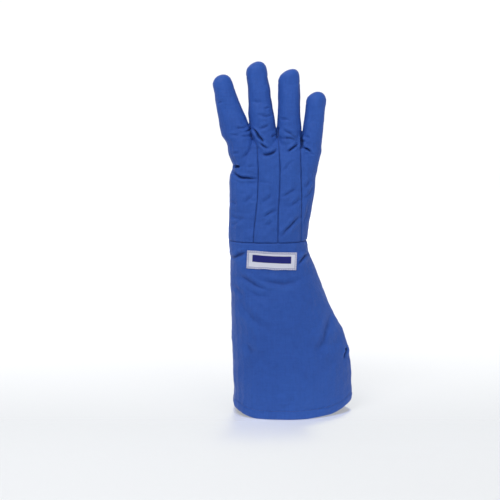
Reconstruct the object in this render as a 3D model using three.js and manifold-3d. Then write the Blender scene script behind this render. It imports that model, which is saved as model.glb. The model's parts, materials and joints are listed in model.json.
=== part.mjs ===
// A padded cryogenic glove for the right hand, with an elbow-length gauntlet.
// It stands upright on the hem of its cuff, hollow all the way up to the finger tips.
// Millimetres, +Z up. The back of the hand faces -Y, the palm +Y, the little finger +X.
// The shell is sewn from padded panels: each panel is a solid of its own, a seam gap from the next.

import * as THREE from "three";
import { mergeVertices } from "three/addons/utils/BufferGeometryUtils.js";
import Module from "manifold-3d";

// Lengths along the arm
const cuffLength = 244; // hem to wrist seam
const palmHeight = 142; // wrist seam to the webs between the fingers
const fingerLength = 147; // the middle finger, from its root inside the palm to its tip

// Cuff and wrist
const hemWidth = 168;
const hemDepth = 112;
const hemShift = 35.5; // the hem's middle stands this far to the little-finger side of the wrist's
const hemSideRise = 9; // the hem lifts this much at its two sides
const hemFlat = 0.62; // share of the hem's width that lies flat
const wristWidth = 107;
const wristDepth = 68;

// Hand
const palmWidth = 124;
const palmShift = 6.75; // the palm's middle, from the wrist's
const knuckleDepth = 41;
const fingerWidth = 36; // the middle finger's, at its foot
const fingerDepth = 33;
const fingerCurl = 11; // how far the longest finger's tip bends to the palm side
const curlStart = 0.915; // where the fingers start to curl, as a share of the palm's height
const panelPuff = 1.8; // how far each back panel swells between its seams

// Walls and seams
const wallThickness = 4;
const seamGap = 0.3;
const palmSeamForward = 5; // the seam of back and palm, in front of the fingers' middle
const gussetWidth = 11; // the strip between two fingers

// Thumb
const thumbTip = 1.07; // the thumb's tip, as a share of the palm's height
const thumbReach = 52; // the thumb tip, in front of the hand's mid-plane
const thumbWidth = 42;
const thumbTipWidth = 32;
const thumbWeb = 0.76; // the web below the thumb, as a share of the palm's height
const thenarSeam = -0.129; // the seam of the thumb's panel and the palm, as a share of the palm's width

// Label sewn on the cuff's back
const labelWidth = 70;
const labelHeight = 25;
const labelThickness = 1.2;
const labelDrop = 11; // wrist seam to the label's upper edge
const labelShift = 5; // the label's middle, from the wrist's
const labelTurn = -2; // degrees

// Four fingers. rootX is a share of the palm's width and rootUp of its height, lean is in degrees,
// length is a share of the finger length, width, tipWidth and skew of the width, depth of the depth.
const fingers = [
  { name: "index", rootX: -0.238, rootUp: 0.704, lean: -16.4,
    length: 0.905, width: 1.125, tipWidth: 0.778, depth: 1, skew: 0.056 },
  { name: "middle", rootX: -0.006, rootUp: 0.704, lean: -6.4,
    length: 1, width: 1, tipWidth: 0.792, depth: 1, skew: 0.083 },
  { name: "ring", rootX: 0.236, rootUp: 0.704, lean: -0.2,
    length: 0.925, width: 0.95, tipWidth: 0.8, depth: 0.97, skew: 0.139 },
  { name: "little", rootX: 0.449, rootUp: 0.669, lean: 6.1,
    length: 0.748, width: 0.8, tipWidth: 0.79, depth: 0.879, skew: 0.083 },
].map((row) => ({
  name: row.name,
  rootX: row.rootX * palmWidth,
  rootUp: row.rootUp * palmHeight,
  lean: THREE.MathUtils.degToRad(row.lean),
  length: row.length * fingerLength,
  width: row.width * fingerWidth,
  tipWidth: row.tipWidth * fingerWidth,
  depth: row.depth * fingerDepth,
  skew: row.skew * fingerWidth,
}));

// Sections of the cuff from the hem up. up is a share of the cuff's length.
// left, right and depth are shares of the way from the wrist's size to the hem's.
const cuffSections = [
  { up: 0, left: 1, right: 1, depth: 1 },
  { up: 0.05, left: 1, right: 1, depth: 1 },
  { up: 0.12, left: 1, right: 1, depth: 0.99 },
  { up: 0.2, left: 0.9, right: 1, depth: 0.95 },
  { up: 0.28, left: 0.85, right: 0.98, depth: 0.88 },
  { up: 0.36, left: 0.7, right: 0.935, depth: 0.8 },
  { up: 0.41, left: 0.6, right: 0.88, depth: 0.74 },
  { up: 0.47, left: 0.45, right: 0.8, depth: 0.67 },
  { up: 0.55, left: 0.3, right: 0.65, depth: 0.57 },
  { up: 0.63, left: 0.2, right: 0.51, depth: 0.47 },
  { up: 0.71, left: 0.1, right: 0.38, depth: 0.36 },
  { up: 0.79, left: 0, right: 0.27, depth: 0.25 },
  { up: 0.87, left: 0, right: 0.15, depth: 0.14 },
  { up: 0.94, left: 0, right: 0.05, depth: 0.05 },
  { up: 1, left: 0, right: 0, depth: 0 },
];

// Sections of the palm from the wrist up. up is a share of the palm's height.
// left, right and depth are shares of the way from the wrist's size to the knuckles',
// inset is a share of the palm's width taken off that side, and dome closes the top.
const palmSections = [
  { up: 0, left: 0, right: 0, depth: 0, insetLeft: 0, insetRight: 0, dome: 1 },
  { up: 0.08, left: 0, right: 0.07, depth: 0.1, insetLeft: 0, insetRight: 0, dome: 1 },
  { up: 0.19, left: 0.1, right: 0.26, depth: 0.25, insetLeft: 0, insetRight: 0, dome: 1 },
  { up: 0.31, left: 0.1, right: 0.46, depth: 0.4, insetLeft: 0, insetRight: 0, dome: 1 },
  { up: 0.43, left: 0.1, right: 0.59, depth: 0.55, insetLeft: 0, insetRight: 0, dome: 1 },
  { up: 0.52, left: 0.1, right: 0.68, depth: 0.66, insetLeft: 0, insetRight: 0, dome: 1 },
  { up: 0.58, left: 0.1, right: 0.75, depth: 0.74, insetLeft: 0, insetRight: 0, dome: 1 },
  { up: 0.64, left: 0.4, right: 0.82, depth: 0.81, insetLeft: 0.01, insetRight: 0, dome: 1 },
  { up: 0.69, left: 0.7, right: 0.88, depth: 0.87, insetLeft: 0.035, insetRight: 0, dome: 1 },
  { up: 0.74, left: 1, right: 0.95, depth: 0.93, insetLeft: 0.058, insetRight: 0, dome: 1 },
  { up: 0.8, left: 1, right: 1, depth: 1, insetLeft: 0.066, insetRight: 0, dome: 0.98 },
  { up: 0.86, left: 1, right: 1, depth: 1, insetLeft: 0.08, insetRight: 0.01, dome: 0.9 },
  { up: 0.92, left: 1, right: 1, depth: 1, insetLeft: 0.12, insetRight: 0.03, dome: 0.76 },
  { up: 0.97, left: 1, right: 1, depth: 1, insetLeft: 0.18, insetRight: 0.07, dome: 0.52 },
  { up: 1, left: 1, right: 1, depth: 1, insetLeft: 0.26, insetRight: 0.13, dome: 0.2 },
];

// The three seams of the hand's back, as shares of the palm's width, by share of its height
const backSeams = [
  { up: 0, first: -0.165, second: 0.109, third: 0.367 },
  { up: 0.14, first: -0.157, second: 0.109, third: 0.369 },
  { up: 0.32, first: -0.133, second: 0.113, third: 0.371 },
  { up: 0.43, first: -0.117, second: 0.125, third: 0.375 },
  { up: 0.7, first: -0.109, second: 0.133, third: 0.367 },
  { up: 0.85, first: -0.117, second: 0.125, third: 0.361 },
  { up: 0.95, first: -0.125, second: 0.117, third: 0.359 },
];
const seamNames = ["first", "second", "third"];
const seamsAbovePalm = [1.03, 1.15, 1.4, 2.4]; // shares of its height at which they are followed

// Sections of a finger: along is a share of its length below the tip's dome
const fingerSections = [
  { along: 0, width: 0.8, depth: 1 },
  { along: 0.25, width: 0.98, depth: 1.08 },
  { along: 0.45, width: 1, depth: 1 },
  { along: 0.62, width: 0.62, depth: 0.94 },
  { along: 0.78, width: 0.32, depth: 0.9 },
  { along: 0.9, width: 0.12, depth: 0.87 },
  { along: 1, width: 0, depth: 0.84 },
];
const domeAngles = [26, 50, 70]; // degrees from the foot of a tip's dome
const domeApexAngle = 84;

// The thumb's line from its root on the wrist. x is a share of the palm's width,
// forward of the thumb's reach and up of its tip's height; width and depth are shares of the thumb's.
const thumbSections = [
  { x: -0.2, forward: 0.2, up: 0.06, width: 0.9, depth: 0.7 },
  { x: -0.21, forward: 0.35, up: 0.24, width: 1.05, depth: 0.95 },
  { x: -0.222, forward: 0.52, up: 0.42, width: 1.06, depth: 1 },
  { x: -0.236, forward: 0.68, up: 0.58, width: 1, depth: 0.96 },
  { x: -0.254, forward: 0.8, up: 0.71, width: 0.92, depth: 0.88 },
  { x: -0.276, forward: 0.89, up: 0.82, width: 0.85, depth: 0.82 },
  { x: -0.292, forward: 0.95, up: 0.9, width: 0.8, depth: 0.78 },
];

// Main folds of the cloth. x and up give a fold's two ends, as shares of the palm's or
// hem's width and of the palm's or cuff's length; depth and breadth are shares of the wall.
const handFolds = [
  { name: "thumb_side", x: [-0.44, -0.13], up: [0.645, 0.6], depth: 1, breadth: 1.7 },
  { name: "middle_base", x: [-0.09, 0.09], up: [0.84, 0.88], depth: 0.45, breadth: 1.4 },
  { name: "ring_base", x: [0.2, 0.33], up: [0.86, 0.94], depth: 0.5, breadth: 1.4 },
  { name: "little_base", x: [0.39, 0.48], up: [0.9, 0.88], depth: 0.45, breadth: 1.4 },
  { name: "ring_slant", x: [0.15, 0.33], up: [0.3, 0.5], depth: 0.3, breadth: 2 },
  { name: "middle_slant", x: [-0.12, 0.1], up: [0.14, 0.34], depth: 0.3, breadth: 2 },
];
const cuffFolds = [
  { name: "elbow_pleat", x: [0.4, 0.56], up: [0.43, 0.4], depth: 1.2, breadth: 2.2 },
  { name: "below_label_left", x: [-0.32, -0.05], up: [0.79, 0.73], depth: 0.6, breadth: 2.2 },
  { name: "below_label_right", x: [0, 0.22], up: [0.79, 0.81], depth: 0.45, breadth: 2.2 },
  { name: "elbow_slant", x: [0.25, 0.4], up: [0.4, 0.62], depth: 0.6, breadth: 3 },
];

const seamReach = 0.94; // a panel's edge stays this share of the half width from the middle
const wristEase = 0.15; // share of the palm's height over which puff and folds come in
const stationsPerPanel = 4;
const fingerSides = 16;
const liningSides = 10; // sides of a finger's inside
const roundness = 2.3; // exponent of the hand's and wrist's rounded sections
const hemRoundnessLeft = 2.7;
const hemRoundnessRight = 1.55; // the elbow side of the hem comes to a soft point
const far = 600; // a cutter's reach past the glove

const wasm = await Module();
wasm.setup();

const handLength = Math.max(...fingers.map((f) => f.rootUp + f.length * Math.cos(f.lean)));
const knuckleUp = curlStart * palmHeight;
const thumbTipUp = thumbTip * palmHeight;
const thumbWebUp = thumbWeb * palmHeight;
const thenarSeamX = thenarSeam * palmWidth;
const wristLeft = -wristWidth / 2;
const wristRight = wristWidth / 2;
const hemLeft = hemShift - hemWidth / 2;
const hemRight = hemShift + hemWidth / 2;
const palmLeft = palmShift - palmWidth / 2;
const palmRight = palmShift + palmWidth / 2;
const lerp = THREE.MathUtils.lerp;
const smoothstep = THREE.MathUtils.smoothstep;

// A value read off a table's column at some share of the height.
function readTable(rows, up, column) {
  let i = 1;
  while (i < rows.length - 1 && rows[i].up < up) i += 1;
  const low = rows[i - 1];
  const high = rows[i];
  const share = THREE.MathUtils.clamp((up - low.up) / (high.up - low.up), 0, 1);
  return lerp(low[column], high[column], share);
}

// A finger's middle line: its x at some height above the wrist seam.
function fingerX(finger, up) {
  return finger.rootX + Math.tan(finger.lean) * (up - finger.rootUp);
}

// One of the three seams: its x at some height. Above the palm it runs between two fingers.
function seamX(i, up) {
  if (up <= backSeams.at(-1).up * palmHeight) {
    return readTable(backSeams, up / palmHeight, seamNames[i]) * palmWidth;
  }
  const [left, right] = [fingers[i], fingers[i + 1]];
  return lerp(fingerX(left, up), fingerX(right, up), left.width / (left.width + right.width));
}

// How far a fold pushes the cloth in at a point of the back.
function foldDepth(folds, x, up, widthScale, lengthScale) {
  let depth = 0;
  for (const fold of folds) {
    const start = new THREE.Vector2(fold.x[0] * widthScale, fold.up[0] * lengthScale);
    const end = new THREE.Vector2(fold.x[1] * widthScale, fold.up[1] * lengthScale);
    const along = end.clone().sub(start);
    const to = new THREE.Vector2(x, up).sub(start);
    const share = THREE.MathUtils.clamp(to.dot(along) / along.lengthSq(), 0, 1);
    const away = to.sub(along.multiplyScalar(share)).length();
    const breadth = fold.breadth * wallThickness;
    depth += fold.depth * wallThickness * Math.exp(-((away / breadth) ** 2));
  }
  return depth;
}

// A geometry made of closed rings of points, capped at both ends.
function loft(rings) {
  const points = rings.flat();
  const sides = rings[0].length;
  const index = [];
  for (let r = 0; r < rings.length - 1; r += 1) {
    for (let s = 0; s < sides; s += 1) {
      const a = r * sides + s;
      const b = r * sides + ((s + 1) % sides);
      index.push(a, b, b + sides, a, b + sides, a + sides);
    }
  }
  const quarter = Math.floor(sides / 4);
  for (const [ring, turned] of [[0, true], [rings.length - 1, false]]) {
    const [near, opposite] = [rings[ring][quarter], rings[ring][quarter + sides / 2]];
    points.push(near.clone().lerp(opposite, 0.5));
    for (let s = 0; s < sides; s += 1) {
      const a = ring * sides + s;
      const b = ring * sides + ((s + 1) % sides);
      index.push(...(turned ? [b, a, points.length - 1] : [a, b, points.length - 1]));
    }
  }
  return new THREE.BufferGeometry().setFromPoints(points).setIndex(index);
}

// A closed geometry as a solid that can be joined and cut.
function solid(geometry) {
  const bare = geometry.index ? geometry.toNonIndexed() : geometry.clone();
  bare.deleteAttribute("normal");
  bare.deleteAttribute("uv");
  const merged = mergeVertices(bare, 1e-4);
  return new wasm.Manifold(
    new wasm.Mesh({
      numProp: 3,
      vertProperties: new Float32Array(merged.attributes.position.array),
      triVerts: new Uint32Array(merged.index.array),
    }),
  );
}

// A solid as a geometry again.
function geometryOf(manifold) {
  const mesh = manifold.getMesh();
  const positions = new Float32Array(mesh.numVert * 3);
  for (let v = 0; v < mesh.numVert; v += 1) {
    positions.set(mesh.vertProperties.subarray(v * mesh.numProp, v * mesh.numProp + 3), v * 3);
  }
  const geometry = new THREE.BufferGeometry();
  geometry.setAttribute("position", new THREE.BufferAttribute(positions, 3));
  geometry.setIndex(new THREE.BufferAttribute(mesh.triVerts, 1));
  const flat = geometry.toNonIndexed();
  flat.computeVertexNormals();
  return flat;
}

// Angles round a section at which its points stand: each back panel's edges and steps between.
// u runs from -1 at the section's left side to 1 at its right.
function stationAngles(section) {
  const clamped = section.edges.map((u) => THREE.MathUtils.clamp(u, -seamReach, seamReach));
  const edges = clamped.map((u) => Math.acos(-u));
  const bounds = [0, ...edges, Math.PI];
  const back = [];
  for (let panel = 0; panel < bounds.length - 1; panel += 1) {
    for (let step = 0; step < stationsPerPanel; step += 1) {
      back.push(lerp(bounds[panel], bounds[panel + 1], step / stationsPerPanel));
    }
  }
  const front = back.slice(1).map((angle) => 2 * Math.PI - angle);
  return [...back, Math.PI, ...front.reverse()];
}

// One ring of the cuff or palm. grow moves its surface out, or in if negative.
function ring(section, grow) {
  const middle = (section.left + section.right) / 2;
  const half = (section.right - section.left) / 2;
  const angles = stationAngles(section);
  return angles.map((angle, i) => {
    const u = -Math.cos(angle);
    const power = u < 0 ? section.powerLeft : section.powerRight;
    const bow = (1 - Math.abs(u) ** power) ** (1 / power);
    const onBack = angle < Math.PI;
    let depth = section.depth;
    if (onBack) {
      const inPanel = (i % stationsPerPanel) / stationsPerPanel;
      depth += section.puff * Math.sin(Math.PI * inPanel) - section.fold(middle + u * half);
    }
    const reach = Math.max(depth + grow, 1);
    const y = bow * reach * (onBack ? -1 : 1);
    return new THREE.Vector3(middle + u * (half + grow), y, section.height(u));
  });
}

function cuffSection(row) {
  const up = row.up;
  return {
    left: lerp(wristLeft, hemLeft, row.left),
    right: lerp(wristRight, hemRight, row.right),
    depth: lerp(wristDepth, hemDepth, row.depth) / 2,
    powerLeft: lerp(roundness, hemRoundnessLeft, row.depth),
    powerRight: lerp(roundness, hemRoundnessRight, row.right),
    edges: [-Math.SQRT1_2, 0, Math.SQRT1_2],
    puff: 0,
    fold: (x) => foldDepth(cuffFolds, x, up * cuffLength, hemWidth, cuffLength),
    height: (u) => {
      const side = Math.max(0, (Math.abs(u) - hemFlat) / (1 - hemFlat));
      return up * cuffLength + hemSideRise * side ** 1.5 * (1 - up) ** 3;
    },
  };
}

function palmSection(row) {
  const up = row.up * palmHeight;
  const left = lerp(wristLeft, palmLeft, row.left) + row.insetLeft * palmWidth;
  const right = lerp(wristRight, palmRight, row.right) - row.insetRight * palmWidth;
  const seamUp = Math.min(up, backSeams.at(-1).up * palmHeight);
  const seamU = (_, i) => (2 * seamX(i, seamUp) - left - right) / (right - left);
  return {
    left,
    right,
    depth: (lerp(wristDepth, knuckleDepth, row.depth) / 2) * row.dome,
    powerLeft: roundness,
    powerRight: roundness,
    edges: seamNames.map(seamU),
    puff: panelPuff * smoothstep(row.up, 0, wristEase),
    fold: (x) => foldDepth(handFolds, x, up, palmWidth, palmHeight) * smoothstep(row.up, 0, wristEase),
    height: () => cuffLength + up,
  };
}

// The cuff as one solid, grown or shrunk, running past its ends where it is to cut another.
function cuffBody(grow, past) {
  const sections = cuffSections.map(cuffSection);
  const rings = sections.map((section) => ring(section, grow));
  if (past) {
    const shift = (points, by) => points.map((p) => new THREE.Vector3(p.x, p.y, p.z + by));
    rings.unshift(shift(rings[0], -past));
    rings.push(shift(rings[rings.length - 1], past));
  }
  return solid(loft(rings));
}

// How far a finger's middle is bent to the palm side at some height above the wrist seam.
function curlAt(up) {
  const share = Math.max(0, (up - knuckleUp) / (handLength - knuckleUp));
  return fingerCurl * share ** 1.5;
}

// Rings square to a line, each an oval of its own width and depth.
function tubeRings(stops, sides) {
  return stops.map((stop) => {
    const across = new THREE.Vector3(1, 0, 0).addScaledVector(stop.along, -stop.along.x).normalize();
    const deep = new THREE.Vector3().crossVectors(stop.along, across);
    return Array.from({ length: sides }, (_, side) => {
      const angle = (2 * Math.PI * (side + 0.5)) / sides;
      return stop.centre
        .clone()
        .addScaledVector(across, (Math.cos(angle) * stop.width) / 2)
        .addScaledVector(deep, (Math.sin(angle) * stop.depth) / 2);
    });
  });
}

// The stops of a tip's dome, from its foot to just short of its apex.
function domeStops(foot, along, width, depth, skew) {
  const across = new THREE.Vector3(1, 0, 0);
  return [...domeAngles, domeApexAngle].map((degrees) => {
    const angle = THREE.MathUtils.degToRad(degrees);
    const rise = Math.sin(angle);
    const centre = foot.clone().addScaledVector(along, (rise * width) / 2);
    return {
      centre: centre.addScaledVector(across, skew * rise ** 2),
      along,
      width: width * Math.cos(angle),
      depth: depth * Math.cos(angle),
    };
  });
}

// A finger as one solid, grown or shrunk.
function fingerBody(finger, grow) {
  const along = new THREE.Vector3(Math.sin(finger.lean), 0, Math.cos(finger.lean));
  const tipWidth = finger.tipWidth + 2 * grow;
  const straight = finger.length + grow - tipWidth / 2;
  const place = (distance) => {
    const up = finger.rootUp + distance * along.z;
    return new THREE.Vector3(finger.rootX + distance * along.x, curlAt(up), cuffLength + up);
  };
  const stops = fingerSections.map((row, i) => ({
    centre: place(row.along * straight),
    along,
    width: (i < 3 ? finger.width * row.width : lerp(finger.tipWidth, finger.width, row.width)) + 2 * grow,
    depth: finger.depth * row.depth + 2 * grow,
  }));
  const foot = stops[stops.length - 1];
  stops.push(...domeStops(foot.centre, along, tipWidth, foot.depth, finger.skew));
  return solid(loft(tubeRings(stops, grow < 0 ? liningSides : fingerSides)));
}

// The thumb as one solid, grown or shrunk.
function thumbBody(grow) {
  const points = thumbSections.map((row) => {
    const up = row.up * thumbTipUp;
    return new THREE.Vector3(row.x * palmWidth, row.forward * thumbReach, cuffLength + up);
  });
  const stops = thumbSections.map((row, i) => {
    const before = points[Math.max(0, i - 1)];
    const after = points[Math.min(points.length - 1, i + 1)];
    return {
      centre: points[i],
      along: after.clone().sub(before).normalize(),
      width: thumbWidth * row.width + 2 * grow,
      depth: thumbWidth * row.depth + 2 * grow,
    };
  });
  const foot = stops[stops.length - 1];
  const tip = thumbTipWidth + 2 * grow;
  foot.width = tip;
  foot.depth = tip;
  stops.push(...domeStops(foot.centre, foot.along, tip, tip, 0));
  return solid(loft(tubeRings(stops, grow < 0 ? liningSides : fingerSides)));
}

function palmBody(grow, below) {
  const rings = palmSections.map((row) => ring(palmSection(row), grow));
  if (below) rings.unshift(rings[0].map((p) => new THREE.Vector3(p.x, p.y, p.z - below)));
  return solid(loft(rings));
}

// The whole hand as one solid.
function handBody(grow, below) {
  let body = palmBody(grow, below).add(thumbBody(grow));
  for (const finger of fingers) body = body.add(fingerBody(finger, grow));
  return body;
}

// A prism from an outline in X and Z, running from y0 to y1.
function prismAlongY(outline, y0, y1) {
  const shape = new THREE.Shape(outline.map(([x, z]) => new THREE.Vector2(x, z)));
  const geometry = new THREE.ExtrudeGeometry(shape, { depth: y1 - y0, bevelEnabled: false });
  geometry.rotateX(Math.PI / 2);
  geometry.translate(0, y1, 0);
  return solid(geometry);
}

// A prism from an outline in Y and Z, running through the whole glove along X.
function prismAlongX(outline) {
  const shape = new THREE.Shape(outline.map(([y, z]) => new THREE.Vector2(y, z)));
  const geometry = new THREE.ExtrudeGeometry(shape, { depth: 2 * far, bevelEnabled: false });
  geometry.rotateX(Math.PI / 2);
  geometry.rotateZ(Math.PI / 2);
  geometry.translate(-far, 0, 0);
  return solid(geometry);
}

// One of the three seams as a line of [x, z], moved sideways.
function seamLine(i, shift) {
  const shares = [...backSeams.map((row) => row.up), ...seamsAbovePalm];
  return shares.map((share) => [seamX(i, share * palmHeight) + shift, cuffLength + share * palmHeight]);
}

const wristZ = cuffLength;
const topZ = cuffLength + far;

// The finger's share of the back: all between its two seams, or out to the glove's own edge.
function fingerRegion(i) {
  const left = i > 0 ? seamLine(i - 1, seamGap / 2) : [[-far, wristZ], [-far, topZ]];
  const right = i < seamNames.length ? seamLine(i, -seamGap / 2) : [[far, wristZ], [far, topZ]];
  const foot = [[left[0][0], wristZ - far], [right[0][0], wristZ - far]];
  const head = [[right.at(-1)[0], topZ], [left.at(-1)[0], topZ]];
  return prismAlongY([...foot, ...right, ...head, ...left.reverse()], -far, far);
}

// Heights at which the curled line between back and palm is followed
const curlHeights = [0, 0.25, 0.5, 0.65, 0.75, 0.85, 0.95, 1.1].map((share) => share * handLength);

// All that lies behind (side -1) or in front (side 1) of the fingers' middle, moved forward.
function besideMiddle(side, forward) {
  const line = curlHeights.map((up) => [curlAt(up) + forward, wristZ + up]);
  const outer = [[side * far, line.at(-1)[1]], [side * far, wristZ - far]];
  return prismAlongX([[line[0][0], wristZ - far], ...line, ...outer]);
}

// A point on a finger's middle line at a share of its length, as [x, z].
function onFinger(finger, share) {
  return [
    finger.rootX + Math.sin(finger.lean) * finger.length * share,
    wristZ + finger.rootUp + Math.cos(finger.lean) * finger.length * share,
  ];
}

// Where the strip between two fingers lies: from one finger's middle line to the other's.
const gussetTopShare = 0.86;
const gussetFootShare = 0.2;
function gussetRegion(i, margin) {
  const [left, right] = [fingers[i], fingers[i + 1]];
  const leftTop = onFinger(left, gussetTopShare);
  const rightTop = onFinger(right, gussetTopShare);
  const leftLow = onFinger(left, gussetFootShare);
  const rightLow = onFinger(right, gussetFootShare);
  const gapX = (z) => seamX(i, z - wristZ);
  const outline = [
    [gapX(leftLow[1]), Math.min(leftLow[1], rightLow[1]) - margin * 2],
    [rightLow[0] + margin, rightLow[1] - margin],
    [rightTop[0] + margin, rightTop[1] + margin],
    [gapX(rightTop[1]), rightTop[1] + margin],
    [gapX(leftTop[1]), leftTop[1] + margin],
    [leftTop[0] - margin, leftTop[1] + margin],
    [leftLow[0] - margin, leftLow[1] - margin],
  ];
  const behind = besideMiddle(-1, palmSeamForward + margin);
  const ahead = besideMiddle(1, palmSeamForward - gussetWidth - margin);
  return prismAlongY(outline, -far, far).intersect(ahead).intersect(behind);
}

// The thumb's side of the palm: below its web the ball of the thumb, above it the free thumb.
const thumbBackFoot = 0.02; // its back above the web, in front of the palm, as a share of its reach
const thumbBackTop = 0.24; // the same at its tip
const thumbSeamRise = 0.07; // from the web to that line's foot, as a share of its width
const thumbSeamLean = 0.1; // how far the seam leans to the fingers' side, as a share of its width
function thumbRegion(margin) {
  const webY = knuckleDepth / 2;
  const web = wristZ + thumbWebUp + margin;
  const tip = wristZ + thumbTipUp;
  const outline = [
    [palmSeamForward - margin, wristZ - far],
    [far, wristZ - far],
    [far, topZ],
    [webY + thumbReach * thumbBackTop - margin, topZ],
    [webY + thumbReach * thumbBackTop - margin, tip],
    [webY + thumbReach * thumbBackFoot - margin, web + thumbWidth * thumbSeamRise],
    [palmSeamForward - margin, web],
  ];
  const seamX = thenarSeamX + margin;
  const freeX = seamX + thumbWidth * thumbSeamLean;
  const side = [[-far, wristZ - far], [seamX, wristZ - far], [seamX, web - thumbWidth / 2]];
  const free = [[freeX, web], [freeX, topZ], [-far, topZ]];
  return prismAlongX(outline).intersect(prismAlongY([...side, ...free], -far, far));
}

// The thumb's back half: the side towards the index finger, and a strip down its outer edge.
const thumbStripShare = 0.36; // the strip's breadth, as a share of the thumb's
const thumbForkShare = 0.4; // where the strip starts, as a share of the tip's height
function thumbBackRegion(margin) {
  const middle = thumbSections.map((row) => {
    return [row.forward * thumbReach + margin, wristZ + row.up * thumbTipUp];
  });
  const behind = prismAlongX([
    [-far, wristZ - far],
    [middle[0][0], wristZ - far],
    ...middle,
    [thumbReach + margin, topZ],
    [-far, topZ],
  ]);
  const stripX = palmLeft + thumbWidth * thumbStripShare + margin;
  const forkZ = wristZ + thumbTipUp * thumbForkShare - margin;
  const strip = [[-far, wristZ - far], [stripX, wristZ - far], [stripX, forkZ]];
  return behind.intersect(prismAlongY([...strip, [far, forkZ], [far, topZ], [-far, topZ]], -far, far));
}

// The hand's hollow shell, open at the wrist seam.
const handFootZ = wristZ + seamGap;
const aboveWrist = prismAlongX([[-far, handFootZ], [far, handFootZ], [far, topZ], [-far, topZ]]);
const handShell = handBody(0, 0).subtract(handBody(-wallThickness, wallThickness)).intersect(aboveWrist);
const backShell = handShell.intersect(besideMiddle(-1, palmSeamForward - seamGap / 2));
const palmShell = handShell.intersect(besideMiddle(1, palmSeamForward + seamGap / 2));

const blueCloth = () => new THREE.MeshStandardMaterial({ color: 0x3458a8, roughness: 0.75, metalness: 0 });
const blackCloth = () => new THREE.MeshStandardMaterial({ color: 0x1d1d1f, roughness: 0.6, metalness: 0 });
const whiteWeave = () => new THREE.MeshStandardMaterial({ color: 0xc9cde0, roughness: 0.8, metalness: 0 });

const glove = new THREE.Group();
function addPiece(name, manifold, material) {
  const mesh = new THREE.Mesh(geometryOf(manifold), material);
  mesh.name = name;
  glove.add(mesh);
}

// Cuff: a back and a palm panel, sewn together down both sides
const cuffShell = cuffBody(0, 0).subtract(cuffBody(-wallThickness, wallThickness));
addPiece("cuff_back", cuffShell.intersect(besideMiddle(-1, -seamGap / 2)), blueCloth());
addPiece("cuff_palm", cuffShell.intersect(besideMiddle(1, seamGap / 2)), blueCloth());

// Gussets between the fingers, and the back panels that they are cut out of
let openBack = backShell;
seamNames.forEach((_, i) => {
  openBack = openBack.subtract(gussetRegion(i, seamGap / 2));
  const strip = backShell.intersect(gussetRegion(i, -seamGap / 2));
  addPiece("gusset_" + fingers[i].name + "_" + fingers[i + 1].name, strip, blueCloth());
});
fingers.forEach((finger, i) => {
  addPiece("back_" + finger.name, openBack.intersect(fingerRegion(i)), blueCloth());
});

// Palm with the fingers' fronts, and the thumb's two panels
addPiece("palm", palmShell.subtract(thumbRegion(seamGap / 2)), blackCloth());
const thumbShell = palmShell.intersect(thumbRegion(-seamGap / 2));
addPiece("thumb_front", thumbShell.subtract(thumbBackRegion(seamGap / 2)), blackCloth());
addPiece("thumb_back", thumbShell.intersect(thumbBackRegion(-seamGap / 2)), blueCloth());

// Label: a thin plate that follows the cuff, sewn on below the wrist seam
const turn = THREE.MathUtils.degToRad(labelTurn);
const labelMiddle = new THREE.Vector2(labelShift, cuffLength - labelDrop - labelHeight / 2);
const labelOutline = [[-1, -1], [1, -1], [1, 1], [-1, 1]].map(([sx, sz]) => {
  const corner = new THREE.Vector2((sx * labelWidth) / 2, (sz * labelHeight) / 2);
  return corner.rotateAround(new THREE.Vector2(), turn).add(labelMiddle).toArray();
});
const labelLayer = cuffBody(seamGap + labelThickness, 0).subtract(cuffBody(seamGap, wallThickness));
addPiece("label", labelLayer.intersect(prismAlongY(labelOutline, -far, 0)), whiteWeave());

// The origin is the middle of the glove's footprint, on the surface that it stands on.
const box = new THREE.Box3().setFromObject(glove);
glove.position.set(-(box.min.x + box.max.x) / 2, -(box.min.y + box.max.y) / 2, 0);

export default glove;
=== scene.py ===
import json
import math
from contextlib import contextmanager

import bmesh
import bpy
import numpy as np
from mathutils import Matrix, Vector
from mathutils.bvhtree import BVHTree
from mathutils.kdtree import KDTree

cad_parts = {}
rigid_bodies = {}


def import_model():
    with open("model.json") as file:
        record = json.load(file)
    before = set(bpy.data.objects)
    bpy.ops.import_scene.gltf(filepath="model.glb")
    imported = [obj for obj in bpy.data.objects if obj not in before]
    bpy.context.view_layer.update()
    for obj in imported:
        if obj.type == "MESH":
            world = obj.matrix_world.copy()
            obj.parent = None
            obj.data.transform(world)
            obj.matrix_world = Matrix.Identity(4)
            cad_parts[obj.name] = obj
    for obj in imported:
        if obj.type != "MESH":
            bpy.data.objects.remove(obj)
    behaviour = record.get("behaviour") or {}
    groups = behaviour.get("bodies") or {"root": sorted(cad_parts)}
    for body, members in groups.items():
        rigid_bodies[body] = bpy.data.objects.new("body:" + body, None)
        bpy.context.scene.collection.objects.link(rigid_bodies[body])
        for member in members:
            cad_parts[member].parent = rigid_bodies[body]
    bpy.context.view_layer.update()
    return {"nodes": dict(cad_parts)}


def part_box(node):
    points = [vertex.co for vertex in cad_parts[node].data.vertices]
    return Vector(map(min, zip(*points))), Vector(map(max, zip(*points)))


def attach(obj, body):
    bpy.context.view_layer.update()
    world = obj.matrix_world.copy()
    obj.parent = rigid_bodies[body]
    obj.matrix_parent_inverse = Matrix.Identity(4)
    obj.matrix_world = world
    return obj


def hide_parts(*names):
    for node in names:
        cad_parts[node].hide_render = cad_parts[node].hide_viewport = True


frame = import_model()

bl_info = {
    "name": "Cryogenic glove",
    "version": (1, 0, 0),
    "blender": (4, 5, 0),
    "location": "View3D > Sidebar > Glove",
    "description": "Sews the padded glove, its label and its stitches over the packed frame",
    "category": "Add Mesh",
}

BODY = "root"
BLUE = "blue_shell"
BLACK = "black_grip"
WOVEN = "label_weave"

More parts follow.
